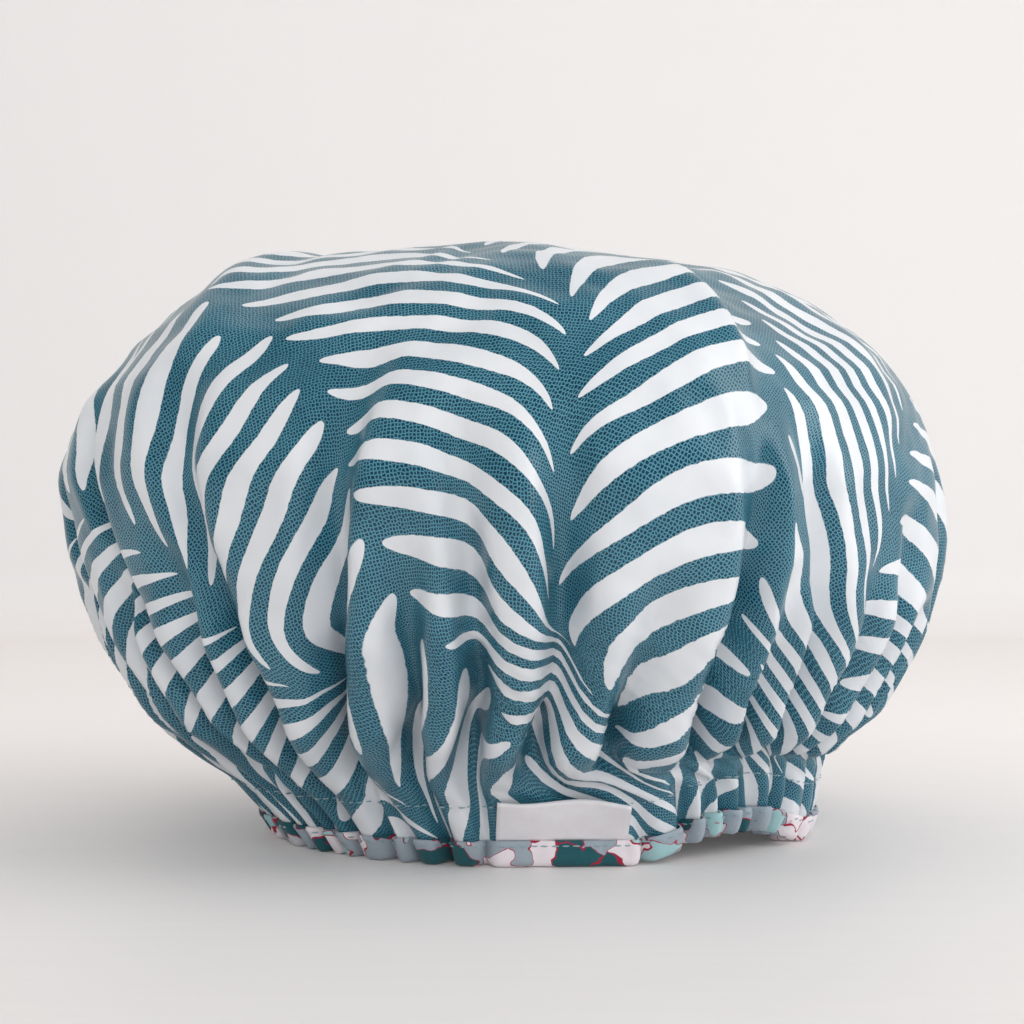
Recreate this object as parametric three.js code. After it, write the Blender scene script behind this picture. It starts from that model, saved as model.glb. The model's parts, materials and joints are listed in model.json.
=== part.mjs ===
// A gathered shower cap, standing on its hem.
//
// A round of printed fabric and a round of lining are laid together. Their edge is bound with a
// strip of contrast fabric, and a second row of stitching above it closes a channel. An elastic
// band runs in that channel and draws the edge into gathers. Creases run up from them and leave the
// cloth of the belly in hanging folds. A blank ribbon label is caught in the binding at the front.
//
// Millimetres, +Z up. The hem rests on z = 0 and the front of the cap faces -Y.
import * as THREE from "three";

// The cap as it stands
const BODY_WIDTH = 255; // across the belly along X
const BODY_DEPTH = 243; // across the belly along Y
const BELLY_HEIGHT = 98; // floor to the widest level
const CAP_HEIGHT = 169; // floor to the top of the crown
const CROWN_SQUARENESS = 2.4; // 2 is an ellipse, more is a flatter crown with fuller shoulders
const BELLY_FULLNESS = 0.75; // under 1 the belly swells out sooner above the channel
const BELLY_DROOP = THREE.MathUtils.degToRad(25); // the folds hang this much just above the channel

// The hem
const HEM_WIDTH = 142; // across the hem, between the gathers
const HEM_SHIFT = 12; // the hem stands this far to the +X side of the middle of the belly
const BINDING_HEIGHT = 6.4; // floor to the folded edge of the binding
const BINDING_SEAM_INSET = 1.8; // the binding is stitched this far below its folded edge
const CHANNEL_ROOM = 1.3; // above the elastic the cloths take this height to close, and again to the seam

// Cloth, thread and elastic
const FABRIC = 0.8; // wall of the printed fabric
const LINING = 0.6; // wall of the lining
const BINDING = 0.8; // wall of the folded binding
const THREAD = 0.6; // diameter of the sewing thread
const ELASTIC_WIDTH = 10;
const ELASTIC_THICKNESS = 0.9;
const ELASTIC_OVERLAP = 16; // length where the two ends of the elastic are sewn together
const ELASTIC_JOIN = THREE.MathUtils.degToRad(90); // where the ends meet, at the back
const CLEARANCE = 0.3; // between pieces that lie against each other

// Folds: the cloth hangs full between creases that run up from the hem and die away
const GATHER_DEPTH = 7; // how far the folds stand out at the hem
const FOLD_DEPTH = 10; // how far they stand out of the smooth belly where they hang fullest
const FOLD_FULLEST = 32; // height of that level
const FOLD_FLUSH = 88; // height where they lie in the belly's outline
const FOLD_SLACK = 3; // in the folds the lining hangs this much further from the printed fabric
const CREASE_DEEPEST = 45; // height where the creases are deepest
const CREASE_HALF_AT_HEM = 3.2; // half the width of a crease at the hem
const CREASE_HALF = 6; // and where it is deepest
const CREASE_SPREAD = 1.8; // a crease is this many times wider where it dies away
const CREASE_ROOM = 0.42; // the most that half a crease takes of the way to the next one
// Each crease: its azimuth in degrees at the hem, where it is deepest and at its top, the height of
// its top, and its depth
const CREASES = [
  [-172, -173, -178, 118, 11],
  [-155, -156, -165, 112, 11],
  [-138, -140, -155, 139, 9],
  [-129, -124.5, -131, 131, 12],
  [-121, -114.5, -105, 138, 14],
  [-109, -104, -101, 97, 11],
  [-101, -94.5, -94, 122, 12],
  [-92, -84, -83, 121, 13],
  [-78, -74, -72, 80, 11],
  [-61, -62, -60, 129, 14],
  [-43, -47, -51, 121, 9],
  [-33, -30, -29, 97, 11],
  [-17, -16, -13, 112, 12],
  [0, -2, -5, 125, 13],
  [17, 18, 21, 104, 11],
  [35, 33, 30, 130, 11],
  [51, 53, 55, 115, 9],
  [68, 66, 64, 126, 13],
  [86, 88, 92, 108, 12],
  [103, 101, 99, 132, 14],
  [119, 121, 124, 118, 12],
  [137, 134, 131, 124, 9],
  [154, 156, 158, 106, 11],
  [172, 170, 167, 128, 13],
];

// The label, a ribbon folded in half with both ends caught in the binding
const LABEL_WIDTH = 34;
const LABEL_HEIGHT = 13; // seam to the fold
const LABEL_RIBBON = 0.35; // wall of the ribbon
const LABEL_FOLD = 0.3; // gap between the two halves of the ribbon
const LABEL_AZIMUTH = THREE.MathUtils.degToRad(-86.5); // round the hem, from +X
const LABEL_SPARE_LEAN = THREE.MathUtils.degToRad(7); // at rest it leans out from the belly by this
const LABEL_FLAT_MARGIN = 4; // the gathers lie flat behind the label and this far beyond its ends

const CROWN_FACETS = 28; // facets round the smooth crown
const ELASTIC_FACETS = 72; // and along the elastic
const FULL_TURN = 2 * Math.PI;
const HEM_RADIUS = HEM_WIDTH / 2;

// Heights of the hem, from the floor up
const BINDING_SEAM = BINDING_HEIGHT - BINDING_SEAM_INSET;
const ELASTIC_LOWEST = BINDING_SEAM + THREAD / 2 + CLEARANCE;
const ELASTIC_TOP = ELASTIC_LOWEST + ELASTIC_WIDTH;
const CHANNEL_CLOSES = ELASTIC_TOP + CHANNEL_ROOM; // here the lining comes up against the fabric
const CHANNEL_SEAM = CHANNEL_CLOSES + CHANNEL_ROOM;
const CHANNEL_HEIGHT = CHANNEL_SEAM + CHANNEL_ROOM;

const COLOURS = {
  printedFabric: { color: 0x3f7f92, roughness: 0.55, metalness: 0 },
  lining: { color: 0xc9d3d6, roughness: 0.5, metalness: 0 },
  binding: { color: 0x9fb0ba, roughness: 0.75, metalness: 0 },
  elastic: { color: 0xf0efea, roughness: 0.9, metalness: 0 },
  thread: { color: 0xe6ebea, roughness: 0.7, metalness: 0 },
  label: { color: 0xf3f0f1, roughness: 0.5, metalness: 0 },
};

// A ring of points, with the share of a full turn that each point has.
function evenRing(points) {
  return { points, turns: points.map((_, i) => i / points.length) };
}

// Faces between rings of points. A ring runs anticlockwise seen from above, and a face between a
// ring and the one above it looks outwards.
class Skin {
  points = [];
  turns = [];
  faces = [];

  ring({ points, turns }) {
    const first = this.points.length;
    this.points.push(...points);
    this.turns.push(...turns);
    return points.map((_, i) => first + i);
  }

  // The rings may have different counts: the one that lags behind takes the next step. A ring of
  // one point takes none.
  join(lower, upper) {
    const turnAfter = (ring, step) => this.turns[ring[step % ring.length]] + Math.floor(step / ring.length);
    const lowerSteps = lower.length > 1 ? lower.length : 0;
    const upperSteps = upper.length > 1 ? upper.length : 0;
    let i = 0;
    let j = 0;
    while (i < lowerSteps || j < upperSteps) {
      const from = lower[i % lower.length];
      const to = upper[j % upper.length];
      const lowerLags = turnAfter(lower, i + 1) <= turnAfter(upper, j + 1);
      if (j === upperSteps || (i < lowerSteps && lowerLags)) {
        i += 1;
        this.faces.push(from, lower[i % lower.length], to);
      } else {
        j += 1;
        this.faces.push(from, upper[j % upper.length], to);
      }
    }
  }

  joinAll(rings) {
    for (let k = 0; k + 1 < rings.length; k += 1) this.join(rings[k], rings[k + 1]);
  }

  geometry() {
    const geometry = new THREE.BufferGeometry().setFromPoints(this.points);
    geometry.setIndex(this.faces);
    geometry.computeVertexNormals();
    return geometry;
  }
}

// Rings that start and end at a point or a small loop, such as a dome's two skins or a strip.
function openSkin(rings) {
  const skin = new Skin();
  skin.joinAll(rings.map((ring) => skin.ring(ring)));
  return skin.geometry();
}

// Rings that close on themselves, such as a band round the hem.
function closedSkin(rings) {
  const skin = new Skin();
  const made = rings.map((ring) => skin.ring(ring));
  skin.joinAll([...made, made[0]]);
  return skin.geometry();
}

// The share of its depth that a fold keeps: none behind the label, all of it away from there.
function foldShare(azimuth) {
  const turn = azimuth - LABEL_AZIMUTH;
  const away = HEM_RADIUS * Math.atan2(Math.sin(turn), Math.cos(turn));
  return 1 - Math.exp(-((away / (LABEL_WIDTH / 2 + LABEL_FLAT_MARGIN)) ** 4));
}

// Levels of the cap: height, how far the belly has swelled out of the hem (0 to 1), how far the
// crown is still open (1 to 0), and two directions as angles above the horizontal: the way that
// the smooth cloth faces, and the way that its folds stand out.
function channelLevel(z) {
  return { z, swell: 0, open: 1, facing: 0, leaning: 0 };
}

function swellAt(rise) {
  return Math.sin((Math.PI / 2) * rise ** BELLY_FULLNESS);
}

function bellyLevel(rise) {
  const step = 0.01;
  const growth = (swellAt(rise + step) - swellAt(Math.max(0, rise - step))) * (BODY_WIDTH - HEM_WIDTH) / 2;
  const climb = (rise + step - Math.max(0, rise - step)) * (BELLY_HEIGHT - CHANNEL_HEIGHT);
  return {
    z: THREE.MathUtils.lerp(CHANNEL_HEIGHT, BELLY_HEIGHT, rise),
    swell: swellAt(rise),
    open: 1,
    facing: -Math.atan2(growth, climb),
    leaning: -BELLY_DROOP * (1 - rise),
  };
}

// The channel's top edge faces halfway between the channel and the belly.
function channelTopLevel() {
  return { ...channelLevel(CHANNEL_HEIGHT), facing: bellyLevel(BELLY_RISES[0]).facing / 2 };
}

function crownLevel(angle) {
  const power = 2 / CROWN_SQUARENESS;
  const cosine = Math.max(0, Math.cos(angle));
  const height = CAP_HEIGHT - BELLY_HEIGHT;
  const steepness = Math.sin(angle) ** (2 - power) / height;
  const facing = Math.atan2(steepness, cosine ** (2 - power) / (BODY_WIDTH / 2));
  return {
    z: BELLY_HEIGHT + height * Math.sin(angle) ** power,
    swell: 1,
    open: cosine ** power,
    facing,
    leaning: facing,
  };
}

// A point of the cap at a level and azimuth: the smooth cloth, moved out by a fold and in by an inset.
function pointAt(level, azimuth, fold, inset = 0) {
  const halfWidth = THREE.MathUtils.lerp(HEM_WIDTH, BODY_WIDTH, level.swell) / 2;
  const halfDepth = THREE.MathUtils.lerp(HEM_WIDTH, BODY_DEPTH, level.swell) / 2;
  const out = fold * Math.cos(level.leaning) - inset * Math.cos(level.facing);
  const up = fold * Math.sin(level.leaning) - inset * Math.sin(level.facing);
  return new THREE.Vector3(
    HEM_SHIFT * (1 - level.swell) + (halfWidth * level.open + out) * Math.cos(azimuth),
    (halfDepth * level.open + out) * Math.sin(azimuth),
    level.z + up,
  );
}

// How far a crease has deepened above the hem, and how much is left of it below its top.
function creaseDeepening(z) {
  return THREE.MathUtils.smoothstep(z, CHANNEL_HEIGHT, CREASE_DEEPEST);
}

function creaseLeft(z, top) {
  return THREE.MathUtils.clamp((top - z) / (top - CREASE_DEEPEST), 0, 1);
}

function creaseAzimuth(z, [atHem, atDeepest, atTop, top]) {
  const lowerShare = THREE.MathUtils.clamp((z - CHANNEL_HEIGHT) / (CREASE_DEEPEST - CHANNEL_HEIGHT), 0, 1);
  const lower = THREE.MathUtils.lerp(atHem, atDeepest, lowerShare);
  return THREE.MathUtils.degToRad(THREE.MathUtils.lerp(atTop, lower, creaseLeft(z, top)));
}

// How far the folds stand out of the smooth belly between the creases.
function foldHeight(z, azimuth) {
  const filling = THREE.MathUtils.smoothstep(z, CHANNEL_HEIGHT, FOLD_FULLEST);
  const sinking = THREE.MathUtils.smoothstep(z, FOLD_FULLEST, FOLD_FLUSH);
  const share = THREE.MathUtils.lerp(foldShare(azimuth), 1, creaseDeepening(z));
  return THREE.MathUtils.lerp(GATHER_DEPTH, FOLD_DEPTH, filling) * (1 - sinking) * share;
}

// The creases at a height: for each its bottom, what is left of it, and the way to its neighbours.
function creasesAt(z) {
  const azimuths = CREASES.map((crease) => creaseAzimuth(z, crease));
  const count = azimuths.length;
  return CREASES.map(([, , , top, depth], k) => {
    const azimuth = azimuths[k];
    const left = creaseLeft(z, top);
    return {
      left,
      bottom: { azimuth, fold: creaseDeepening(z) * (foldHeight(z, azimuth) - depth * left) },
      before: azimuth - azimuths[(k + count - 1) % count] + (k === 0 ? FULL_TURN : 0),
      after: azimuths[(k + 1) % count] - azimuth + (k === count - 1 ? FULL_TURN : 0),
    };
  });
}

// Places round the printed fabric: to each crease its two shoulders and its bottom.
function foldPlaces({ z, swell }) {
  const radius = THREE.MathUtils.lerp(HEM_WIDTH, (BODY_WIDTH + BODY_DEPTH) / 2, swell) / 2;
  const half = THREE.MathUtils.lerp(CREASE_HALF_AT_HEM, CREASE_HALF, creaseDeepening(z));
  return creasesAt(z).flatMap(({ left, bottom, before, after }) => {
    const spread = THREE.MathUtils.lerp(CREASE_SPREAD, 1, left);
    const turn = Math.min((half * spread) / radius, CREASE_ROOM * Math.min(before, after));
    const shoulder = (azimuth) => ({ azimuth, fold: foldHeight(z, azimuth) });
    return [shoulder(bottom.azimuth - turn), bottom, shoulder(bottom.azimuth + turn)];
  });
}

// Places round the lining in its folds: to each crease the fold before it and its bottom.
function liningPlaces({ z }) {
  return creasesAt(z).flatMap(({ bottom, before }) => {
    const azimuth = bottom.azimuth - before / 2;
    return [{ azimuth, fold: foldHeight(z, azimuth) }, bottom];
  });
}

function evenPlaces(count) {
  return Array.from({ length: count }, (_, i) => ({ azimuth: (FULL_TURN * i) / count - Math.PI, fold: 0 }));
}

function ringAt(level, places, inset = 0) {
  return {
    points: places.map(({ azimuth, fold }) => pointAt(level, azimuth, fold, inset)),
    turns: places.map(({ azimuth }) => azimuth / FULL_TURN),
  };
}

// A ring that follows the folds of a level, stood off them by a distance.
function foldRing(level, standOff = 0) {
  return ringAt(level, foldPlaces(level).map(({ azimuth, fold }) => ({ azimuth, fold: fold + standOff })));
}

// A smooth ring at the hem, stood off the bottoms of its creases by a distance.
function creaseRing(level, standOff) {
  return ringAt(level, foldPlaces(level).map(({ azimuth }) => ({ azimuth, fold: standOff })));
}

// The rings of the smooth crown, with a single point at the top.
function crownRings(angles, inset) {
  const ring = (angle, facets) => ringAt(crownLevel(angle), evenPlaces(facets), inset);
  return [...angles.map((angle) => ring(angle, CROWN_FACETS)), ring(APEX, 1)];
}

// Offsets of the layers at the hem, from the binding inwards
const BINDING_FACE = CLEARANCE + BINDING; // outside of the binding, from the printed fabric
const ELASTIC_OUTER = -(FABRIC + CLEARANCE);
const ELASTIC_STEP = ELASTIC_THICKNESS + CLEARANCE; // from the elastic's outer end to its inner one
const JOIN_THREAD = ELASTIC_OUTER - ELASTIC_STEP - ELASTIC_THICKNESS - CLEARANCE - THREAD / 2;
const CHANNEL_BACK = JOIN_THREAD - THREAD / 2 - CLEARANCE; // outer face of the lining behind the elastic
const LINING_FACE = -(FABRIC + 2 * CLEARANCE); // outer face of the lining above the elastic
const LINING_HANG = -LINING_FACE + FOLD_SLACK; // its outer face in the folds, measured level
const BINDING_BACK = CHANNEL_BACK - LINING - CLEARANCE; // outer face of the binding's inner leg

const CLOTH_EDGE = BINDING + CLEARANCE; // height of the cloths' cut edges in the binding

// Rings of facets up the cap
const BELLY_RISES = [0.1, 0.28, 0.5, 0.75, 1];
const FABRIC_CROWN_ANGLES = [18, 36, 54, 72].map(THREE.MathUtils.degToRad);
const LINING_CROWN_ANGLES = [18, 36, 60].map(THREE.MathUtils.degToRad);
const APEX = Math.PI / 2;

// A cloth of one wall, from the rings of its outer face: up from the cut edge to the apex. The
// inner face repeats the outer one, a wall behind it, and the cut edge joins the two.
function cloth(rings, wall) {
  const skin = new Skin();
  const outer = rings.map((ring) => skin.ring(ring));
  skin.joinAll(outer);
  const normals = skin.geometry().getAttribute("normal");
  const behind = skin.points.map((point, i) => {
    const normal = new THREE.Vector3().fromBufferAttribute(normals, i);
    return point.clone().addScaledVector(normal, -wall);
  });
  const count = skin.points.length;
  skin.points.push(...behind);
  skin.turns.push(...skin.turns);
  skin.faces.push(...skin.faces.map((i) => i + count).reverse());
  skin.join(outer[0].map((i) => i + count), outer[0]);
  return skin.geometry();
}

function printedFabric() {
  const folded = [channelLevel(CLOTH_EDGE), channelTopLevel(), ...BELLY_RISES.map(bellyLevel)];
  return cloth([...folded.map((level) => foldRing(level)), ...crownRings(FABRIC_CROWN_ANGLES, 0)], FABRIC);
}

// The lining is gathered with the printed fabric, so above the channel it hangs in the same folds.
function lining() {
  const behindElastic = [CLOTH_EDGE, ELASTIC_TOP + CLEARANCE].map(channelLevel);
  const closed = [channelLevel(CHANNEL_CLOSES), channelTopLevel()];
  const folded = BELLY_RISES.map(bellyLevel);
  const rings = [
    ...behindElastic.map((level) => creaseRing(level, CHANNEL_BACK)),
    ...closed.map((level) => creaseRing(level, LINING_FACE)),
    ...folded.map((level) => ringAt(level, liningPlaces(level), LINING_HANG)),
    ...crownRings(LINING_CROWN_ANGLES, LINING_HANG),
  ];
  return cloth(rings, LINING);
}

// A strip folded over the cut edges: an outer leg that follows the gathers, a flat foot that the
// cap stands on, and a smooth inner leg.
function binding() {
  const level = channelLevel;
  return closedSkin([
    foldRing(level(0), BINDING_FACE),
    foldRing(level(BINDING_HEIGHT), BINDING_FACE),
    foldRing(level(BINDING_HEIGHT), BINDING_FACE - BINDING),
    foldRing(level(BINDING), BINDING_FACE - BINDING),
    creaseRing(level(BINDING), BINDING_BACK),
    creaseRing(level(BINDING_HEIGHT), BINDING_BACK),
    creaseRing(level(BINDING_HEIGHT), BINDING_BACK - BINDING),
    creaseRing(level(0), BINDING_BACK - BINDING),
  ]);
}

// A row of thread round the hem, lying against a face of cloth.
function threadRing(z, ringOf, standOff) {
  const half = THREAD / 2;
  const section = [
    [half, 0],
    [0, half],
    [-half, 0],
    [0, -half],
  ];
  return closedSkin(section.map(([out, up]) => ringOf(channelLevel(z + up), standOff + out)));
}

// The top thread of a row of stitching lies on the outside, and the bobbin thread on the inside.
const THREAD_LIFT = CLEARANCE + THREAD / 2;
const CHANNEL_TOP_THREAD = THREAD_LIFT;
const CHANNEL_BOBBIN_THREAD = LINING_FACE - LINING - THREAD_LIFT;
const BINDING_TOP_THREAD = BINDING_FACE + THREAD_LIFT;
const BINDING_BOBBIN_THREAD = BINDING_BACK - BINDING - THREAD_LIFT;

const OVERLAP_TURN = ELASTIC_OVERLAP / (HEM_RADIUS + ELASTIC_OUTER);

// A point of the elastic's channel at a true azimuth.
function channelPoint(azimuth, offset, z) {
  const radius = HEM_RADIUS + offset;
  return new THREE.Vector3(HEM_SHIFT + radius * Math.cos(azimuth), radius * Math.sin(azimuth), z);
}

// One strip that winds once round the hem and on past its own start, a thickness further in.
function elasticBand() {
  const steps = ELASTIC_FACETS;
  const turn = FULL_TURN + OVERLAP_TURN;
  const sections = Array.from({ length: steps + 1 }, (_, i) => {
    const wound = (turn * i) / steps;
    const azimuth = ELASTIC_JOIN - OVERLAP_TURN / 2 + wound;
    const outer = ELASTIC_OUTER - (ELASTIC_STEP * wound) / FULL_TURN;
    const inner = outer - ELASTIC_THICKNESS;
    return [
      channelPoint(azimuth, outer, ELASTIC_LOWEST),
      channelPoint(azimuth, inner, ELASTIC_LOWEST),
      channelPoint(azimuth, inner, ELASTIC_TOP),
      channelPoint(azimuth, outer, ELASTIC_TOP),
    ];
  });
  const middle = (section) => [new THREE.Box3().setFromPoints(section).getCenter(new THREE.Vector3())];
  return openSkin([middle(sections[0]), ...sections, middle(sections.at(-1))].map(evenRing));
}

// A zigzag of thread over the elastic's overlapped ends.
const ZIGZAG_POINTS = 9;
const ZIGZAG_MARGIN = 1.5; // from the elastic's edges
const ZIGZAG_SIDES = 6;
function elasticJoinStitch() {
  const low = ELASTIC_LOWEST + ZIGZAG_MARGIN;
  const high = ELASTIC_TOP - ZIGZAG_MARGIN;
  const points = Array.from({ length: ZIGZAG_POINTS }, (_, i) => {
    const across = i / (ZIGZAG_POINTS - 1) - 0.5;
    return channelPoint(ELASTIC_JOIN + across * OVERLAP_TURN * 0.8, JOIN_THREAD, i % 2 ? high : low);
  });
  const section = new THREE.Shape();
  for (let i = 0; i < ZIGZAG_SIDES; i += 1) {
    const angle = (FULL_TURN * i) / ZIGZAG_SIDES;
    const corner = [(THREAD / 2) * Math.cos(angle), (THREAD / 2) * Math.sin(angle)];
    if (i) section.lineTo(...corner);
    else section.moveTo(...corner);
  }
  const extrudePath = new THREE.CatmullRomCurve3(points, false, "catmullrom", 0.3);
  const steps = 6 * (ZIGZAG_POINTS - 1);
  return new THREE.ExtrudeGeometry(section, { extrudePath, steps, bevelEnabled: false });
}

// The ribbon's hairpin, drawn across its thickness and up from the seam, extruded along its width.
function labelTab() {
  const inside = LABEL_FOLD / 2;
  const outside = inside + LABEL_RIBBON;
  const bend = LABEL_HEIGHT - outside;
  const hairpin = new THREE.Shape();
  hairpin.moveTo(outside, 0);
  hairpin.lineTo(outside, bend);
  hairpin.absarc(0, bend, outside, 0, Math.PI, false);
  hairpin.lineTo(-outside, 0);
  hairpin.lineTo(-inside, 0);
  hairpin.lineTo(-inside, bend);
  hairpin.absarc(0, bend, inside, Math.PI, 0, true);
  hairpin.lineTo(inside, 0);
  hairpin.closePath();
  const width = { depth: LABEL_WIDTH, bevelEnabled: false, curveSegments: 6 };
  return new THREE.ExtrudeGeometry(hairpin, width).translate(0, 0, -LABEL_WIDTH / 2);
}

// The label turns on a line along the folded edge of the binding. The line lies outside all of
// the cloth behind the label, and the label leans out until it clears the belly above.
const LABEL_LEAN_STEPS = 60;
function labelGroup() {
  const out = new THREE.Vector3(Math.cos(LABEL_AZIMUTH), Math.sin(LABEL_AZIMUTH), 0);
  const up = new THREE.Vector3(0, 0, 1);
  const along = new THREE.Vector3().crossVectors(out, up);
  const hemCentre = channelPoint(0, -HEM_RADIUS, 0);
  const isBehind = (point) => Math.abs(point.dot(along)) <= LABEL_WIDTH / 2;
  const clothBehind = (level) =>
    foldRing(level).points.map((point) => point.sub(hemCentre)).filter(isBehind);

  const halfThickness = LABEL_FOLD / 2 + LABEL_RIBBON;
  const clothFace = Math.max(...clothBehind(channelLevel(BINDING_HEIGHT)).map((point) => point.dot(out)));
  const seatOut = clothFace + CLEARANCE + BINDING / 2;
  const seatUp = BINDING_HEIGHT + CLEARANCE + halfThickness;

  let lean = 0;
  for (let step = 0; step <= LABEL_LEAN_STEPS; step += 1) {
    const reached = (LABEL_HEIGHT * step) / LABEL_LEAN_STEPS + seatUp;
    const rise = (reached - CHANNEL_HEIGHT) / (BELLY_HEIGHT - CHANNEL_HEIGHT);
    for (const point of clothBehind(bellyLevel(Math.max(0, rise)))) {
      const outwards = point.dot(out) - seatOut;
      const upwards = point.z - seatUp;
      const inReach = Math.hypot(outwards, upwards) <= LABEL_HEIGHT + CLEARANCE;
      if (inReach) lean = Math.max(lean, Math.atan2(outwards + halfThickness + CLEARANCE, upwards));
    }
  }

  const seat = new THREE.Group();
  seat.position.copy(hemCentre).addScaledVector(out, seatOut).addScaledVector(up, seatUp);
  seat.quaternion.setFromRotationMatrix(new THREE.Matrix4().makeBasis(out, up, along));
  const tab = piece("label_tab", labelTab(), COLOURS.label);
  tab.rotation.z = -(lean + LABEL_SPARE_LEAN);
  seat.add(tab);
  return seat;
}

function piece(name, geometry, finish) {
  const mesh = new THREE.Mesh(geometry, new THREE.MeshStandardMaterial(finish));
  mesh.name = name;
  return mesh;
}

const cap = new THREE.Group();
cap.add(
  piece("outer_shell", printedFabric(), COLOURS.printedFabric),
  piece("lining", lining(), COLOURS.lining),
  piece("hem_binding", binding(), COLOURS.binding),
  piece("elastic_band", elasticBand(), COLOURS.elastic),
  piece("elastic_join_stitch", elasticJoinStitch(), COLOURS.thread),
  piece("channel_top_thread", threadRing(CHANNEL_SEAM, foldRing, CHANNEL_TOP_THREAD), COLOURS.thread),
  piece("channel_bobbin_thread", threadRing(CHANNEL_SEAM, creaseRing, CHANNEL_BOBBIN_THREAD), COLOURS.thread),
  piece("binding_top_thread", threadRing(BINDING_SEAM, foldRing, BINDING_TOP_THREAD), COLOURS.thread),
  piece("binding_bobbin_thread", threadRing(BINDING_SEAM, creaseRing, BINDING_BOBBIN_THREAD), COLOURS.thread),
  labelGroup(),
);

export default cap;
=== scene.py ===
"""A lined shower cap of printed laminated cotton, standing on its gathered elastic hem."""
import json
import math
import bpy
import numpy as np
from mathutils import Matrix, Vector


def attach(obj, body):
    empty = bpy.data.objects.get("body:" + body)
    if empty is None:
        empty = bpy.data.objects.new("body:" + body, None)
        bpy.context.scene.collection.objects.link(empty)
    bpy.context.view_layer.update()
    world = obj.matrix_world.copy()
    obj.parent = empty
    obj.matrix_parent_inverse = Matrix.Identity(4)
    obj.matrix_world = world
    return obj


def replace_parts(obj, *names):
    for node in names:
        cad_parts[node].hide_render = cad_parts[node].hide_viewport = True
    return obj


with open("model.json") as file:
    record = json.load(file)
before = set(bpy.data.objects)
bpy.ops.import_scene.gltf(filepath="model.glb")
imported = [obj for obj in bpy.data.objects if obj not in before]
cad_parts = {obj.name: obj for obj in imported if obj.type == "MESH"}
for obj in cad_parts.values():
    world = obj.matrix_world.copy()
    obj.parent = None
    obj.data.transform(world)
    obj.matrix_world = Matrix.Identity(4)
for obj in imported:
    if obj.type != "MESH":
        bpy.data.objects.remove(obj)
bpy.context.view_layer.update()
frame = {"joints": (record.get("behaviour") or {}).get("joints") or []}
bpy.ops.object.select_all(action="DESELECT")

# Camera
# A plain camera at the height of the cap's belly, square on to the front, as the photograph was taken.
camera = bpy.data.objects.new("photo_camera", bpy.data.cameras.new("photo_camera"))
camera.data.angle = math.radians(28)
CAMERA_SIDE = 0.0036
camera.location = (CAMERA_SIDE, -0.6, 0.086)
aim = Vector((CAMERA_SIDE, 0, 0.092)) - camera.location
camera.rotation_euler = aim.to_track_quat("-Z", "Y").to_euler()
bpy.context.scene.collection.objects.link(camera)
bpy.context.scene.camera = camera

# Printed fabric
# A 560 mm round of laminated cotton, printed with white brushed strokes on dotted teal. Its edge is
# drawn in by the elastic, so that the belly falls to the hem in pleats while the crown stays smooth.
# The hem begins at HEM_ARC from the crown's middle, and the channel's seam runs just below.
CUT_RADIUS = 0.280
HEM_ARC = 0.2605
SEAM_ARC = 0.2615
BODY_ROWS = 48
HEM_ROWS = 7
DEPTH_SHARE = 0.95
rows_from_crown = np.concatenate([
    np.linspace(0, HEM_ARC, BODY_ROWS + 1),
    np.linspace(HEM_ARC, CUT_RADIUS, HEM_ROWS + 1)[1:],
])

# the standing cap's outline: arc from the crown's middle, radius, height and sideways lean of the middle
OUTLINE = np.array([
    (0, 0, 167, 0), (33, 33, 167, 0), (66.2, 66, 164.5, 0), (88.7, 87, 157, 0), (114.5, 107.3, 142, 0),
    (136.7, 120, 124, 0), (158.1, 126.2, 104, 0), (180.2, 124.2, 82, 2.2), (202.9, 119.5, 60, 3.5),
    (233.1, 105.5, 34, 3.5), (252, 92.5, 23, 4.5), (259.5, 86.5, 18, 7), (273.6, 80, 6.4, 11.5),
    (280, 77.5, 1, 12),
]).T / 1000
fine_arc = np.linspace(0, CUT_RADIUS, 561)


def eased(values, window=17):
    """The values with their corners rounded."""
    share = np.ones(window) / window
    for _ in range(2):
        before = 2 * values[0] - values[window:0:-1]
        after = 2 * values[-1] - values[-2:-window - 2:-1]
        padded = np.concatenate([before, values, after])
        values = np.convolve(padded, share, "same")[window:-window]
    return values


fine_radius, fine_height, fine_lean = (eased(np.interp(fine_arc, OUTLINE[0], row)) for row in OUTLINE[1:])
fine_radius = np.maximum(fine_radius - fine_radius[0], 0)
fine_out = -np.gradient(fine_height, fine_arc)
fine_up = np.gradient(fine_radius, fine_arc)
fine_length = np.hypot(fine_out, fine_up)

# pleat valleys: azimuth in degrees at the hem, where the pleat is deepest and at its top, height of
# the top and depth in millimetres
LONG_PLEATS = (
    (-172, -173, -178, 118, 11), (-155, -156, -165, 112, 11), (-138, -140, -155, 139, 12),
    (-129, -124.5, -131, 131, 12), (-121, -114.5, -105, 138, 14), (-109, -104, -101, 97, 11),
    (-101, -94.5, -94, 122, 12), (-92, -84, -83, 121, 13), (-78, -74, -72, 80, 11),
    (-61, -62, -60, 129, 14), (-43, -47, -51, 121, 12), (-33, -30, -29, 97, 11),
    (-17, -16, -13, 112, 12), (0, -2, -5, 125, 13), (17, 18, 21, 104, 11),
    (35, 33, 30, 130, 12), (51, 53, 55, 115, 11), (68, 66, 64, 126, 13),
    (86, 88, 92, 108, 12), (103, 101, 99, 132, 14), (119, 121, 124, 118, 12),
    (137, 134, 131, 124, 12), (154, 156, 158, 106, 11), (172, 170, 167, 128, 13),
)
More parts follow.
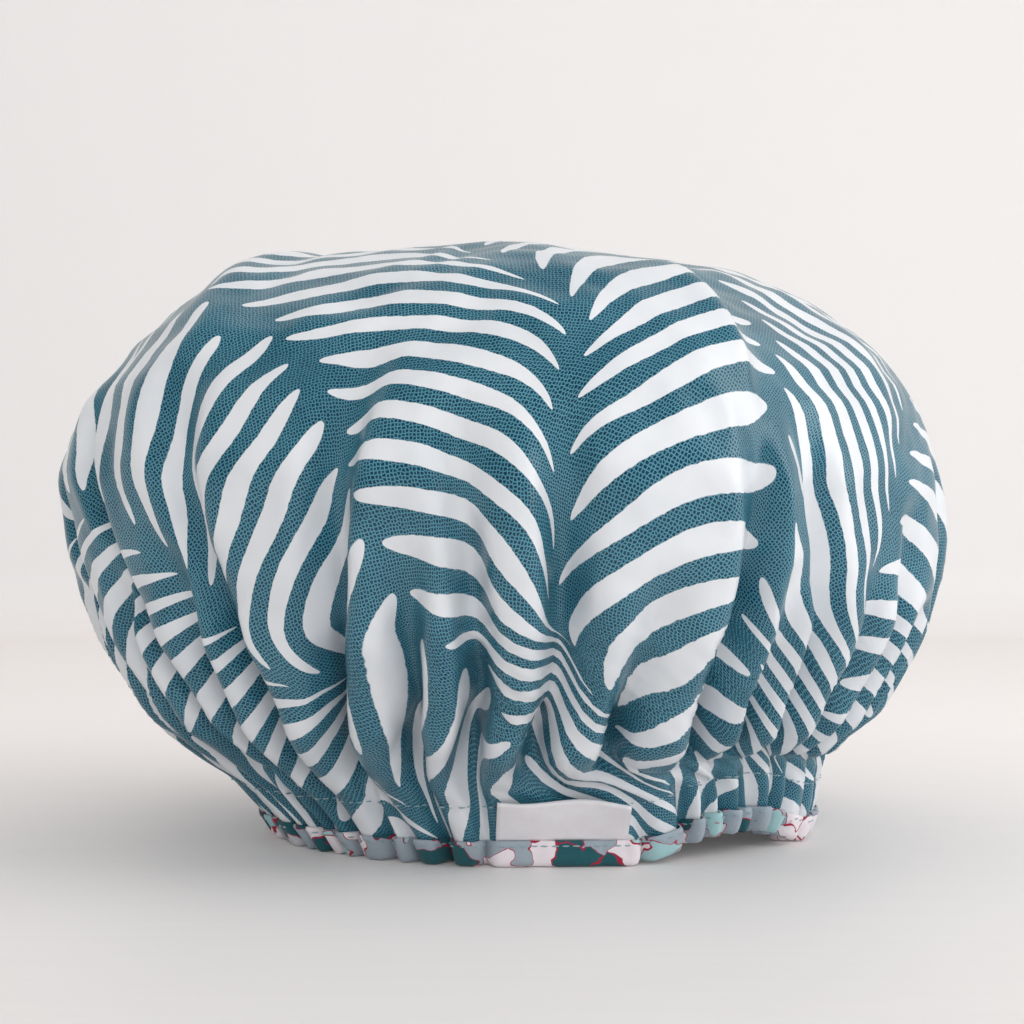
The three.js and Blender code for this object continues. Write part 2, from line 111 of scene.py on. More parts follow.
# arcs in millimetres of the cut edge and of the level where pleats are deepest, then each kind's half
# width, its depth in the hem and the gap in degrees that takes one; no tuck lies behind the label
EDGE = 280
DEEPEST = 222
LONG_WIDTH, LONG_IN_HEM = 4.9, 7.6
MIDDLE_WIDTH, MIDDLE_IN_HEM, MIDDLE_ROOM = 4.3, 7, 13
TUCK_WIDTH, TUCK_IN_HEM, TUCK_ROOM, TUCK_DEPTH = 4, 5.5, 8.5, 3
LABEL_FROM, LABEL_TO = -102, -80
draw = np.random.default_rng(11)
pleats = []
for place, (at_hem, at_deepest, at_top, top, depth) in enumerate(LONG_PLEATS):
    top_arc = np.interp(-top, -1000 * fine_height, 1000 * fine_arc)
    line = [(at_hem, EDGE), (at_deepest, DEEPEST), (at_top, top_arc)]
    pleats.append((line, depth, LONG_WIDTH, LONG_IN_HEM))
    next_hem, next_deepest = LONG_PLEATS[(place + 1) % len(LONG_PLEATS)][:2]
    room = (next_deepest - at_deepest) % 360
    if room >= MIDDLE_ROOM:
        middle = draw.uniform(0.45, 0.55)
        azimuth = at_deepest + middle * room
        in_hem = at_hem + middle * ((next_hem - at_hem) % 360)
        line = [(in_hem, EDGE), (azimuth, DEEPEST), (azimuth, draw.uniform(168, 205))]
        pleats.append((line, draw.uniform(9, 11), MIDDLE_WIDTH, MIDDLE_IN_HEM))
# tucks between them, in the hem alone
hem_azimuths = sorted((pleat[0][0][0] + 180) % 360 - 180 for pleat in pleats)
for azimuth, after in zip(hem_azimuths, hem_azimuths[1:] + [hem_azimuths[0] + 360]):
    if after - azimuth > TUCK_ROOM and not LABEL_FROM < azimuth < LABEL_TO:
        azimuth = azimuth + draw.uniform(0.44, 0.56) * (after - azimuth)
        line = [(azimuth, EDGE), (azimuth, draw.uniform(232, 242))]
        pleats.append((line, TUCK_DEPTH, TUCK_WIDTH, TUCK_IN_HEM))

# standing folds of the crown: the line, then height, rise and fall in millimetres
crown_folds = [
    ([(-57, 70), (-59, 97), (-60, 135), (-58, 164), (-60, 200)], 7.5, 45, 5.5),
    ([(-150, 50), (-148, 76), (-131, 120), (-136, 142), (-134, 170)], 6, 30, 14),
    ([(20, 60), (12, 110), (16, 150)], 5, 30, 10),
    ([(95, 60), (104, 110), (100, 165)], 6, 40, 9),
    ([(165, 70), (172, 110), (166, 150)], 5, 26, 12),
]
# slow waves round the belly: count, height in millimetres and start
BELLY_WAVES = ((3, 0.9, 0.3), (5, 0.7, 1.9), (7, 0.5, 4.0))


def ramp(value):
    """A soft step from 0 to 1."""
    value = np.clip(value, 0, 1)
    return value * value * (3 - 2 * value)


def azimuths_wrapped(azimuths):
    """Azimuths in degrees from -180 to 180."""
    return (np.degrees(azimuths) + 180) % 360 - 180


def off_line(line, arc, azimuths):
    """How far round a point is from a fold's line."""
    line_azimuths, line_arcs = np.array(sorted(line, key=lambda point: point[1])).T
    middle = np.interp(arc, line_arcs / 1000, np.radians(line_azimuths))
    return (azimuths - middle + math.pi) % (2 * math.pi) - math.pi


# the label's stitching keeps the hem flat along this straight line, from left to right; above its root
# the hem leans out behind the label and waves with it
LABEL_LEFT = np.array((-0.0006, -0.0726))
LABEL_RIGHT = np.array((0.0337, -0.0705))
LABEL_ROOT = 0.007
LABEL_SLOPE = 0.37
LABEL_WAVE = 0.0011
LABEL_HOLD = 0.93
PLEAT_SCALE = 1.7
FULL_DEPTH_ARC = 0.232
HEM_FROM, HEM_FADE = 0.246, 0.016
HEM_LIFT = 0.0060
LIFT_FROM, LIFT_TO = -74, -20
SEAM_DENT = 0.0010


def label_wave(share):
    """How far the label stands out along its width, as a share of LABEL_WAVE."""
    return np.sin(2 * math.pi * share + 0.6)


def fabric_form(arc, azimuths):
    """The folded round at rows and azimuths: points, and where the pleats' valleys lie."""
    radius = np.interp(arc, fine_arc, fine_radius)
    height = np.interp(arc, fine_arc, fine_height)
    lean = np.interp(arc, fine_arc, fine_lean)
    length = np.interp(arc, fine_arc, fine_length)
    out = np.interp(arc, fine_arc, fine_out) / length
    up = np.interp(arc, fine_arc, fine_up) / length
    in_hem = ramp((arc - HEM_FROM) / HEM_FADE)
    push = np.zeros_like(azimuths)
    valley = np.zeros_like(azimuths)
    for line, depth, width, at_hem in pleats:
        top = min(point[1] for point in line) / 1000
        share = np.clip((arc - top) / max(FULL_DEPTH_ARC - top, 0.02), 0, 1) ** 0.7
        deep = share * (PLEAT_SCALE * depth * (1 - in_hem) + at_hem * in_hem) / 1000
        mouth = width / 1000 * (1 + 1.1 * (1 - share)) * (1 - 0.3 * in_hem)
        across = np.abs(off_line(line, arc, azimuths)) * radius / mouth
        fall = np.clip(1 - across ** 2, 0, 1) ** 1.5
        push = np.minimum(push, -deep * fall)
        valley += share * np.exp(-(across / 0.3) ** 2)
    for line, tall, rise, fall in crown_folds:
        first, last = line[0][1] / 1000, line[-1][1] / 1000
        across = off_line(line, arc, azimuths) * radius * 1000
        share = ramp((arc - first) / 0.03) * ramp((last - arc) / 0.03)
        behind = 1.5 * np.exp(-np.abs(across) / fall) - 0.5 * np.exp(-np.abs(across) / rise)
        push += tall / 1000 * share * np.where(across < 0, np.exp(-np.abs(across) / rise), behind)
    wave = sum(tall * np.sin(count * azimuths + start) for count, tall, start in BELLY_WAVES)
    push += 0.001 * wave * np.exp(-((arc - 0.15) / 0.06) ** 2)
    push -= SEAM_DENT * np.exp(-((arc - SEAM_ARC) / 0.0018) ** 2)
    deep_share = 1 - (1 - DEPTH_SHARE) * np.clip(arc / 0.15, 0, 1)
    x = lean + (radius + push * out) * np.cos(azimuths)
    y = (radius + push * out) * np.sin(azimuths) * deep_share
    z = height + push * up * np.clip((0.262 - arc) / 0.02, 0, 1)
    along = (x - LABEL_LEFT[0]) / (LABEL_RIGHT[0] - LABEL_LEFT[0])
    flat_y = LABEL_LEFT[1] + along * (LABEL_RIGHT[1] - LABEL_LEFT[1])
    flat_y = flat_y - LABEL_SLOPE * np.clip(z - LABEL_ROOT, 0, 0.02)
    flat_y = flat_y - LABEL_WAVE * label_wave(along) * np.clip((z - LABEL_ROOT) / 0.0105, 0, 1)
    hold = LABEL_HOLD * ramp((along + 0.1) / 0.12) * ramp((1.1 - along) / 0.12)
    hold = hold * ramp((arc - 0.248) / 0.010) * (y < 0)
    y = y + hold * (flat_y - y)
    degrees = azimuths_wrapped(azimuths)
    lift = ramp((degrees - LIFT_FROM) / 22) * ramp((LIFT_TO - degrees) / 24)
    z = z + HEM_LIFT * lift * ramp((arc - 0.235) / 0.03)
    return np.stack([x, y, z], -1), valley


def round_net(rows):
    """A round net of quads: row k has 8k points. Gives each point's row and its share of the way round."""
    point_rows, point_shares, first = [0], [0.0], [0]
    for k in range(1, rows + 1):
        first.append(len(point_rows))
        point_rows += [k] * (8 * k)
        point_shares += [i / (8 * k) for i in range(8 * k)]
    faces = []
    for k in range(1, rows + 1):
        inner, outer = first[k - 1], first[k]
        inner_count, outer_count = max(1, 8 * (k - 1)), 8 * k
        for side in range(4):
            corner = side * 2 * k
            inner_corner = side * 2 * (k - 1)
            faces.append((inner + inner_corner % inner_count, outer + (corner - 1) % outer_count,
                          outer + corner, outer + corner + 1))
            for j in range(1, 2 * k - 1):
                faces.append((inner + (inner_corner + j - 1) % inner_count, outer + corner + j,
                              outer + (corner + j + 1) % outer_count,
                              inner + (inner_corner + j) % inner_count))
    return np.array(point_rows), np.array(point_shares), faces


BACK = math.pi / 2
ROUND_STEPS = 2880
MOST_TUCKED = 3.0
round_steps = np.linspace(BACK, BACK + 2 * math.pi, ROUND_STEPS + 1)


def laid_row(arc):
    """One row of the round along its folds: the way walked at each step, and the print's angle there."""
    path, valley = fabric_form(np.full(ROUND_STEPS + 1, arc), round_steps)
    steps = np.linalg.norm(np.diff(path, axis=0), axis=1)
    walked = np.concatenate([[0], np.cumsum(steps)])
    folded_in = 0.5 * (valley[1:] + valley[:-1])
    spare = max(0.0, 2 * math.pi * arc - walked[-1])
    tuck = min(spare / max((folded_in * steps).sum(), 1e-9), MOST_TUCKED)
    print_steps = steps * (1 + tuck * folded_in)
    printed_so_far = np.concatenate([[0], np.cumsum(print_steps)])
    print_angle = BACK + 2 * math.pi * printed_so_far / max(print_steps.sum(), 1e-9)
    return walked, print_angle


net_rows, net_shares, net_faces = round_net(len(rows_from_crown) - 1)
net_arcs = rows_from_crown[net_rows]
net_azimuths = np.zeros(len(net_rows))
net_print = np.zeros((len(net_rows), 2))
row_lengths = np.zeros(len(rows_from_crown))
for row in range(1, len(rows_from_crown)):
    here = net_rows == row
    walked, print_angle = laid_row(rows_from_crown[row])
    row_lengths[row] = walked[-1]
    net_azimuths[here] = np.interp(net_shares[here] * walked[-1], walked, round_steps)
    angle = np.interp(net_shares[here] * walked[-1], walked, print_angle)
    net_print[here] = rows_from_crown[row] * np.stack([np.cos(angle), np.sin(angle)], -1)
formed, _ = fabric_form(net_arcs, net_azimuths)

# the cut round before it is folded, as a cone of the same row lengths: the cloth's unstretched shape,
# with a little ease down and round
EASE_DOWN = 1.004
EASE_ROUND = 0.08
row_steps = EASE_DOWN * np.hypot(np.diff(np.interp(rows_from_crown, fine_arc, fine_radius)),
                                 np.diff(np.interp(rows_from_crown, fine_arc, fine_height)))
wanted = row_lengths / (2 * math.pi) * (1 + EASE_ROUND * ramp((rows_from_crown - 0.12) / 0.12))
widening = np.clip(np.diff(wanted), -row_steps, row_steps)
rest_radius = np.concatenate([[0], np.cumsum(widening)])
rest_height = -np.concatenate([[0], np.cumsum(np.sqrt(row_steps ** 2 - widening ** 2))])
around = 2 * math.pi * net_shares
unfolded = np.stack([rest_radius[net_rows] * np.cos(around), rest_radius[net_rows] * np.sin(around),
                     rest_height[net_rows]], -1)


def new_piece(name, points, faces, print_map=None):
    """A mesh piece from points and faces, with an optional map of the cloth's own flat places in metres."""
    mesh = bpy.data.meshes.new(name)
    mesh.from_pydata(np.asarray(points).tolist(), [], faces)
    if print_map is not None:
        corners = np.zeros(len(mesh.loops), np.int32)
        mesh.loops.foreach_get("vertex_index", corners)
        flat_places = np.asarray(print_map)[corners].astype(np.float32)
        mesh.uv_layers.new(name="flat").data.foreach_set("uv", flat_places.ravel())
    mesh.shade_smooth()
    piece = bpy.data.objects.new(name, mesh)
    bpy.context.scene.collection.objects.link(piece)
    return piece


def points_of(piece):
    """The places of a mesh piece's points."""
    flat = np.zeros(3 * len(piece.data.vertices))
    piece.data.vertices.foreach_get("co", flat)
    return flat.reshape(-1, 3)


def apply_modifier(piece, kind, **settings):
    """Adds a modifier and applies it."""
    bpy.ops.object.select_all(action="DESELECT")
    bpy.context.view_layer.objects.active = piece
    piece.select_set(True)
    modifier = piece.modifiers.new(kind.title(), kind)
    for name, value in settings.items():
        setattr(modifier, name, value)
    bpy.ops.object.modifier_apply(modifier=modifier.name)


SIM_SCALE = 10
SIM_FRAMES = 30
SLIGHT_HOLD = 0.015


def settled(points, rest, held):
    """The round let go as cloth from its folded start, at ten times its size, with its hem held."""
    cloth = new_piece("settling", SIM_SCALE * points, net_faces)
    cloth.shape_key_add(name="folded")
    key = cloth.shape_key_add(name="unfolded")
    key.data.foreach_set("co", (SIM_SCALE * rest).astype(np.float32).ravel())
    group = cloth.vertex_groups.new(name="held")
    group.add(np.where(held)[0].tolist(), 1.0, "REPLACE")
    group.add(np.where(~held)[0].tolist(), SLIGHT_HOLD, "REPLACE")
    modifier = cloth.modifiers.new("Cloth", "CLOTH")
    settings = modifier.settings
    settings.quality = 6
    settings.mass = 0.1
    settings.air_damping = 3
    settings.tension_stiffness = 15
    settings.compression_stiffness = 15
    settings.shear_stiffness = 5
    settings.bending_stiffness = 0.4
    settings.tension_damping = 10
    settings.compression_damping = 10
    settings.shear_damping = 8
    settings.bending_damping = 1
    settings.vertex_group_mass = "held"
    settings.rest_shape_key = key
    settings.use_pressure = True
    settings.uniform_pressure_force = 0.12
    settings.effector_weights.gravity = 0.1
    modifier.collision_settings.use_collision = False
    modifier.point_cache.frame_end = SIM_FRAMES
    for step in range(1, SIM_FRAMES + 1):
        bpy.context.scene.frame_set(step)
    after = cloth.evaluated_get(bpy.context.evaluated_depsgraph_get())
    flat = np.zeros(3 * len(after.data.vertices))
    after.data.vertices.foreach_get("co", flat)
    bpy.data.objects.remove(cloth)
    bpy.context.scene.frame_set(1)
    return flat.reshape(-1, 3) / SIM_SCALE


fabric_points = settled(formed, unfolded, net_arcs > HEM_ARC - 0.0001)
fabric = new_piece("printed_fabric", fabric_points, net_faces, net_print)
fabric_normals = np.zeros(3 * len(fabric_points))
fabric.data.vertices.foreach_get("normal", fabric_normals)
fabric_normals = fabric_normals.reshape(-1, 3)
apply_modifier(fabric, "SUBSURF", levels=1, render_levels=1)
apply_modifier(fabric, "SOLIDIFY", thickness=0.0005, offset=-1)


class Wire:
    """One socket in a material's nodes. Sums on it add Math nodes."""

    def __init__(self, tree, socket=None):
        self.tree = tree
        self.socket = socket

    def node(self, kind, settings=None, inputs=None, output=0):
        """Adds a node and gives one of its outputs."""
        made = self.tree.nodes.new(kind)
        for name, value in (settings or {}).items():
            setattr(made, name, value)
        for name, value in (inputs or {}).items():
            if isinstance(value, Wire):
                self.tree.links.new(value.socket, made.inputs[name])
            else:
                made.inputs[name].default_value = value
        return Wire(self.tree, made.outputs[output])

    def maths(self, operation, *values):
        """Adds a Math node."""
        return self.node("ShaderNodeMath", {"operation": operation}, dict(enumerate(values)))

    def __add__(self, other):
        return self.maths("ADD", self, other)

    def __sub__(self, other):
        return self.maths("SUBTRACT", self, other)

    def __rsub__(self, other):
        return self.maths("SUBTRACT", other, self)

    def __mul__(self, other):
        return self.maths("MULTIPLY", self, other)

    def __truediv__(self, other):
        return self.maths("DIVIDE", self, other)

    def __pow__(self, other):
        return self.maths("POWER", self, other)

    __radd__ = __add__
    __rmul__ = __mul__

    def step(self, low, high):
        """A soft step from 0 at low to 1 at high."""
        settings = {"interpolation_type": "SMOOTHSTEP"}
        return self.node("ShaderNodeMapRange", settings, {0: self, 1: low, 2: high, 3: 0.0, 4: 1.0})

    def mix(self, first, second):
        """A colour between two, by this share."""
        return self.node("ShaderNodeMix", {"data_type": "RGBA"}, {0: self, 6: first, 7: second}, 2)

    def clouds(self, scale, detail, output=0):
        """Soft noise over this flat place."""
        inputs = {"Vector": self, "Scale": scale, "Detail": detail}
        return self.node("ShaderNodeTexNoise", {"noise_dimensions": "2D"}, inputs, output)

    def bands(self, direction, scale):
        """Even bands over this place."""
        inputs = {"Vector": self, "Scale": scale}
        return self.node("ShaderNodeTexWave", {"bands_direction": direction}, inputs)

    def bump(self, strength, distance, under=None):
        """A bump by this height, over another if one is given."""
        inputs = {"Strength": strength, "Distance": distance, "Height": self}
        if under is not None:
            inputs["Normal"] = under
        return self.node("ShaderNodeBump", {}, inputs)


def colour(red, green, blue):
    """A colour given as it looks on a screen, from 0 to 255."""
    linear = [((c / 255 + 0.055) / 1.055) ** 2.4 if c > 10 else c / 255 / 12.92 for c in (red, green, blue)]
    return (*linear, 1)


def new_material(name, constants):
    """A material with a Principled shader, its tree's wire, and a function that links wires to sockets."""
    material = bpy.data.materials.new(name)
    material.use_nodes = True
    shader = material.node_tree.nodes["Principled BSDF"]
    for socket, value in constants.items():
        shader.inputs[socket].default_value = value

    def link(**wires):
        for socket, wire in wires.items():
            material.node_tree.links.new(wire.socket, shader.inputs[socket.replace("_", " ")])

    return material, Wire(material.node_tree), link


STROKE_PITCH = 0.0137
SPINE_PITCH = 0.136
SPINE_TILT = math.radians(26)
SPINE_SHIFT = 0.102
SPINE_STEP = 0.37
SIDE_STEP = 0.5
STROKE_HALF = 0.30
# a stroke climbs from its spine, steeply within the bend and then at a slope, on the left and the right
LEFT_BEND, LEFT_RISE, LEFT_SLOPE = 0.012, 0.024, 0.7
RIGHT_BEND, RIGHT_RISE, RIGHT_SLOPE = 0.020, 0.018, 0.22

printed, wire, link = new_material("printed laminated cotton", {"Coat Weight": 0.8, "Coat Roughness": 0.33,
                                                                "Specular IOR Level": 0.1})
flat_place = wire.node("ShaderNodeUVMap", {"uv_map": "flat"})
drift = flat_place.clouds(11.0, 1.0, 1)
drifted = wire.node("ShaderNodeVectorMath", {"operation": "MULTIPLY_ADD"},
                    {0: drift, 1: (0.030, 0.030, 0.0), 2: flat_place})
split = wire.node("ShaderNodeSeparateXYZ", {}, {0: drifted}).socket.node
along_u, along_v = Wire(wire.tree, split.outputs[0]), Wire(wire.tree, split.outputs[1])
across = along_u * math.cos(SPINE_TILT) + along_v * math.sin(SPINE_TILT)
down = along_u * math.sin(SPINE_TILT) - along_v * math.cos(SPINE_TILT)
counted = across / SPINE_PITCH + SPINE_SHIFT
spine = wire.maths("FLOOR", counted + 0.5)
from_spine = (counted - spine) * SPINE_PITCH
right = wire.maths("GREATER_THAN", from_spine, 0.0)
reach = wire.maths("ABSOLUTE", from_spine)
near_left = wire.maths("EXPONENT", reach * (-1 / LEFT_BEND))
near_right = wire.maths("EXPONENT", reach * (-1 / RIGHT_BEND))
rise_left = LEFT_RISE - LEFT_RISE * near_left + LEFT_SLOPE * reach
rise_right = RIGHT_RISE - RIGHT_RISE * near_right + RIGHT_SLOPE * reach
rise = rise_left + right * (rise_right - rise_left)
turns = (down + rise) / STROKE_PITCH + right * SIDE_STEP + spine * SPINE_STEP
stroke = wire.maths("FLOOR", turns)
aside = wire.maths("ABSOLUTE", turns - stroke - 0.5)
chance = wire.node("ShaderNodeTexWhiteNoise", {"noise_dimensions": "1D"},
                   {"W": stroke + spine * 17.3 + right * 5.7}, 1)
chances = wire.node("ShaderNodeSeparateColor", {}, {0: chance}).socket.node
chance_in, chance_out, chance_wide = (Wire(wire.tree, output) for output in chances.outputs)
begins = 0.0016 + 0.0026 * chance_in
ends = SPINE_PITCH / 2 * (0.90 + 0.10 * chance_out)
way = wire.node("ShaderNodeClamp", {}, {0: (reach - begins) / (ends - begins)})
taper = (4.0 * way * (1.0 - way)) ** 0.38
hand = flat_place.clouds(420.0, 2.0)
inside = STROKE_HALF * (0.92 + 0.16 * chance_wide) * taper - aside + 0.05 * taper * (hand - 0.5) - 0.02
ink = inside.step(-0.012, 0.012)
dots = wire.node("ShaderNodeTexVoronoi", {"voronoi_dimensions": "2D", "feature": "DISTANCE_TO_EDGE"},
                 {"Vector": flat_place, "Scale": 1040.0, "Randomness": 0.5})
ground = 1.0 - dots.step(0.07, 0.22)
cloudy = flat_place.clouds(38.0, 3.0)
dot_teal = cloudy.step(0.3, 0.7).mix(colour(0, 50, 75), colour(3, 60, 87))
ground_teal = cloudy.step(0.3, 0.7).mix(colour(76, 141, 160), colour(92, 156, 174))
white = cloudy.step(0.3, 0.7).mix(colour(225, 229, 234), colour(235, 238, 242))
link(Base_Color=ink.mix(ground.mix(dot_teal, ground_teal), white))
warp = flat_place.bands("X", 600.0)
weft = flat_place.bands("Y", 600.0)
crumple = flat_place.clouds(75.0, 2.0)
link(Roughness=0.33 + 0.10 * cloudy + 0.04 * ink)
link(Normal=(warp * weft).bump(0.25, 0.00006, crumple.bump(0.35, 0.0012)))
fabric.data.materials.append(printed)
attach(fabric, "cap")
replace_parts(fabric, "outer_shell")

# Lining
# A second round of waterproof cloth, smooth and pale, cut as the first. It hangs just inside it and is
# sewn to it along two rows, between which it bellies inwards to leave a channel for the elastic.
LINING_GAP = 0.0018
CHANNEL_END = 0.2768
CHANNEL_ROOM, CHANNEL_BELLY = 0.0012, 0.0035
ELASTIC_INSET = 0.0088


def crest(arc, azimuths, inset):
    """A plain ring without pleats, set in from the outline of the hem and at the fabric's height."""
    radius = np.interp(arc, fine_arc, fine_radius) - inset
    x = np.interp(arc, fine_arc, fine_lean) + radius * np.cos(azimuths)
    y = radius * np.sin(azimuths) * DEPTH_SHARE
    z = fabric_form(arc, azimuths)[0][..., 2]
    return np.stack([x, y, z], -1)


lining_points = fabric_points - LINING_GAP * fabric_normals
bellied = ramp((net_arcs - SEAM_ARC) / 0.003) * ramp((CHANNEL_END - net_arcs) / 0.003)
pleat_share = fabric_form(net_arcs, net_azimuths)[1]
inward = ELASTIC_INSET + CHANNEL_ROOM + CHANNEL_BELLY * (1 - np.clip(pleat_share, 0, 1))
lining_points = lining_points + bellied[:, None] * (crest(net_arcs, net_azimuths, inward) - lining_points)
lining = new_piece("lining_cloth", lining_points, net_faces, net_print)
lining.data.flip_normals()
apply_modifier(lining, "SUBSURF", levels=1, render_levels=1)
apply_modifier(lining, "SOLIDIFY", thickness=0.0004, offset=0)
waterproof, wire, link = new_material("waterproof lining", {"Coat Weight": 0.1, "Coat Roughness": 0.3})
flat_place = wire.node("ShaderNodeUVMap", {"uv_map": "flat"})
knit = flat_place.bands("DIAGONAL", 380.0)
mottle = flat_place.clouds(60.0, 3.0)
link(Base_Color=mottle.mix(colour(222, 228, 230), colour(236, 240, 240)), Roughness=0.38 + 0.14 * mottle)
link(Normal=knit.bump(0.2, 0.00006, mottle.bump(0.3, 0.001)))
lining.data.materials.append(waterproof)
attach(lining, "cap")
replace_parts(lining, "lining")

# Elastic
# A knitted elastic 10 mm wide, drawn through the channel. Its ends lap by 16 mm at the back.
ELASTIC_THICK = 0.0009
ELASTIC_STEPS = 240
LAP_HALF = 0.008
BAND_RADIUS = 0.069
MAP_RADIUS = 0.072
FACES_APART = 0.02
band_azimuths = BACK + 2 * math.pi * np.arange(ELASTIC_STEPS) / ELASTIC_STEPS
from_join = np.abs(band_azimuths - BACK - 2 * math.pi * (band_azimuths > BACK + math.pi))
lap = ramp((LAP_HALF - from_join * BAND_RADIUS) / 0.0005)
section = [(0.2640, 0.2), (0.2646, 0.0), (0.2690, 0.0), (0.2734, 0.0), (0.2740, 0.2),
           (0.2740, 0.8), (0.2734, 1.0), (0.2690, 1.0), (0.2646, 1.0), (0.2640, 0.8)]
band_points, band_faces, band_map = [], [], []
for arc, share in section:
    inset = ELASTIC_INSET + share * ELASTIC_THICK - (1 - share) * ELASTIC_THICK * lap
    band_points.append(crest(np.full(ELASTIC_STEPS, arc), band_azimuths, inset))
    across_band = np.full(ELASTIC_STEPS, arc + FACES_APART * (share > 0.5))
    band_map.append(np.stack([MAP_RADIUS * (band_azimuths - BACK), across_band], -1))
for j in range(len(section)):
    for i in range(ELASTIC_STEPS):
        after, below = (i + 1) % ELASTIC_STEPS, (j + 1) % len(section)
        band_faces.append((j * ELASTIC_STEPS + i, below * ELASTIC_STEPS + i,
                           below * ELASTIC_STEPS + after, j * ELASTIC_STEPS + after))
elastic = new_piece("knitted_elastic", np.concatenate(band_points), band_faces, np.concatenate(band_map))
knitted, wire, link = new_material("knitted elastic", {"Roughness": 0.8})
flat_place = wire.node("ShaderNodeUVMap", {"uv_map": "flat"})
ribs = flat_place.bands("Y", 260.0)
loops = flat_place.bands("X", 330.0)
link(Base_Color=(ribs * loops).mix(colour(214, 214, 210), colour(242, 242, 238)))
link(Normal=(ribs + loops).bump(0.6, 0.0003))
elastic.data.materials.append(knitted)
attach(elastic, "cap")
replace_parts(elastic, "elastic_band")

# Sewing thread
# Pale blue-grey polyester thread. The elastic's lapped ends are joined by a zigzag; two rows of straight
# stitches, seen on both faces of the cloth, close the channel and hold the binding.
THREAD = 0.00022
STITCH_STEP = 0.0027
STITCH_HALF = 0.00105
ZIGZAG_HALF = 0.0060
ZIGZAG_TOP, ZIGZAG_FOOT = 0.2662, 0.2718
JOIN_INSET = ELASTIC_INSET - ELASTIC_THICK - 0.0001
thread, wire, link = new_material("sewing thread", {"Roughness": 0.5, "Sheen Weight": 0.2})
place = wire.node("ShaderNodeTexCoord", {}, {}, 3)
twist = place.bands("DIAGONAL", 900.0)
link(Base_Color=twist.mix(colour(120, 152, 162), colour(168, 192, 198)), Normal=twist.bump(0.4, 0.0001))


def face_out(path):
    """The level direction out of the cloth at each point of a closed path."""
    tangent = np.roll(path, -1, axis=0) - np.roll(path, 1, axis=0)
    out = np.stack([tangent[:, 1], -tangent[:, 0], np.zeros(len(path))], -1)
    return out / np.maximum(np.linalg.norm(out, axis=1, keepdims=True), 1e-9)


def even_path(arc, step):
    """Azimuths at even steps of cloth along one row of the hem."""
    walked, _ = laid_row(arc)
    count = int(walked[-1] / step)
    return np.interp(np.arange(count) * walked[-1] / count, walked, round_steps)


bpy.ops.object.select_all(action="DESELECT")
bpy.ops.mesh.primitive_uv_sphere_add(segments=6, ring_count=5, radius=1)
one_stitch = bpy.context.object
one_stitch.name = "one_stitch"
bpy.ops.object.mode_set(mode="EDIT")
bpy.ops.mesh.select_all(action="SELECT")
bpy.ops.transform.resize(value=(THREAD, THREAD, STITCH_HALF))
bpy.ops.object.mode_set(mode="OBJECT")
stitch_points = points_of(one_stitch)
stitch_faces = [tuple(face.vertices) for face in one_stitch.data.polygons]
bpy.data.objects.remove(one_stitch)


def stitch_row(name, places, along, out):
    """A row of like stitches as one piece: each lies along the row and sinks a little into the cloth."""
    points, faces = [], []
    for spot, run, face in zip(places, along, out):
        side = np.cross(face, run)
        faces += [tuple(i + len(points) * len(stitch_points) for i in corners) for corners in stitch_faces]
        bow = np.clip(np.abs(stitch_points[:, 2:]) / STITCH_HALF, 0, 1) ** 2 * THREAD
        points.append(spot + stitch_points[:, :1] * face + stitch_points[:, 1:2] * side
                      + stitch_points[:, 2:] * run - bow * face)
    row = new_piece(name, np.concatenate(points), faces)
    row.data.materials.append(thread)
    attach(row, "cap")
    return row


def seam(name, node, arc, offset):
    """A straight row of stitches round the hem, off the fabric's face by offset."""
    azimuths = even_path(arc, STITCH_STEP)
    path = fabric_form(np.full(len(azimuths), arc), azimuths)[0]
    dense = fabric_form(np.full(ROUND_STEPS, arc), round_steps[:-1])[0]
    out_dense = face_out(dense)
    nearest = np.searchsorted(round_steps, azimuths) % ROUND_STEPS
    out = out_dense[nearest]
    along = np.cross(np.array((0, 0, 1.0)), out)
    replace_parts(stitch_row(name, path + offset * out, along, out), node)


seam("channel_stitches", "channel_top_thread", SEAM_ARC, 0.0002)
seam("channel_under_stitches", "channel_bobbin_thread", SEAM_ARC, -LINING_GAP - 0.0004)
zigzag = []
for i in range(7):
    zigzag.append((BACK + ZIGZAG_HALF / BAND_RADIUS * (i / 3 - 1), ZIGZAG_TOP if i % 2 else ZIGZAG_FOOT))
join_spots, join_runs, join_out = [], [], []
for (a0, r0), (a1, r1) in zip(zigzag[:-1], zigzag[1:]):
    first = crest(np.array([r0]), np.array([a0]), JOIN_INSET)[0]
    last = crest(np.array([r1]), np.array([a1]), JOIN_INSET)[0]
    for share in (0.2, 0.5, 0.8):
        join_spots.append(first + share * (last - first))
        join_runs.append((last - first) / np.linalg.norm(last - first))
        join_out.append(np.array((0, 1.0, 0)))
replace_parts(stitch_row("elastic_join_zigzag", join_spots, join_runs, join_out), "elastic_join_stitch")

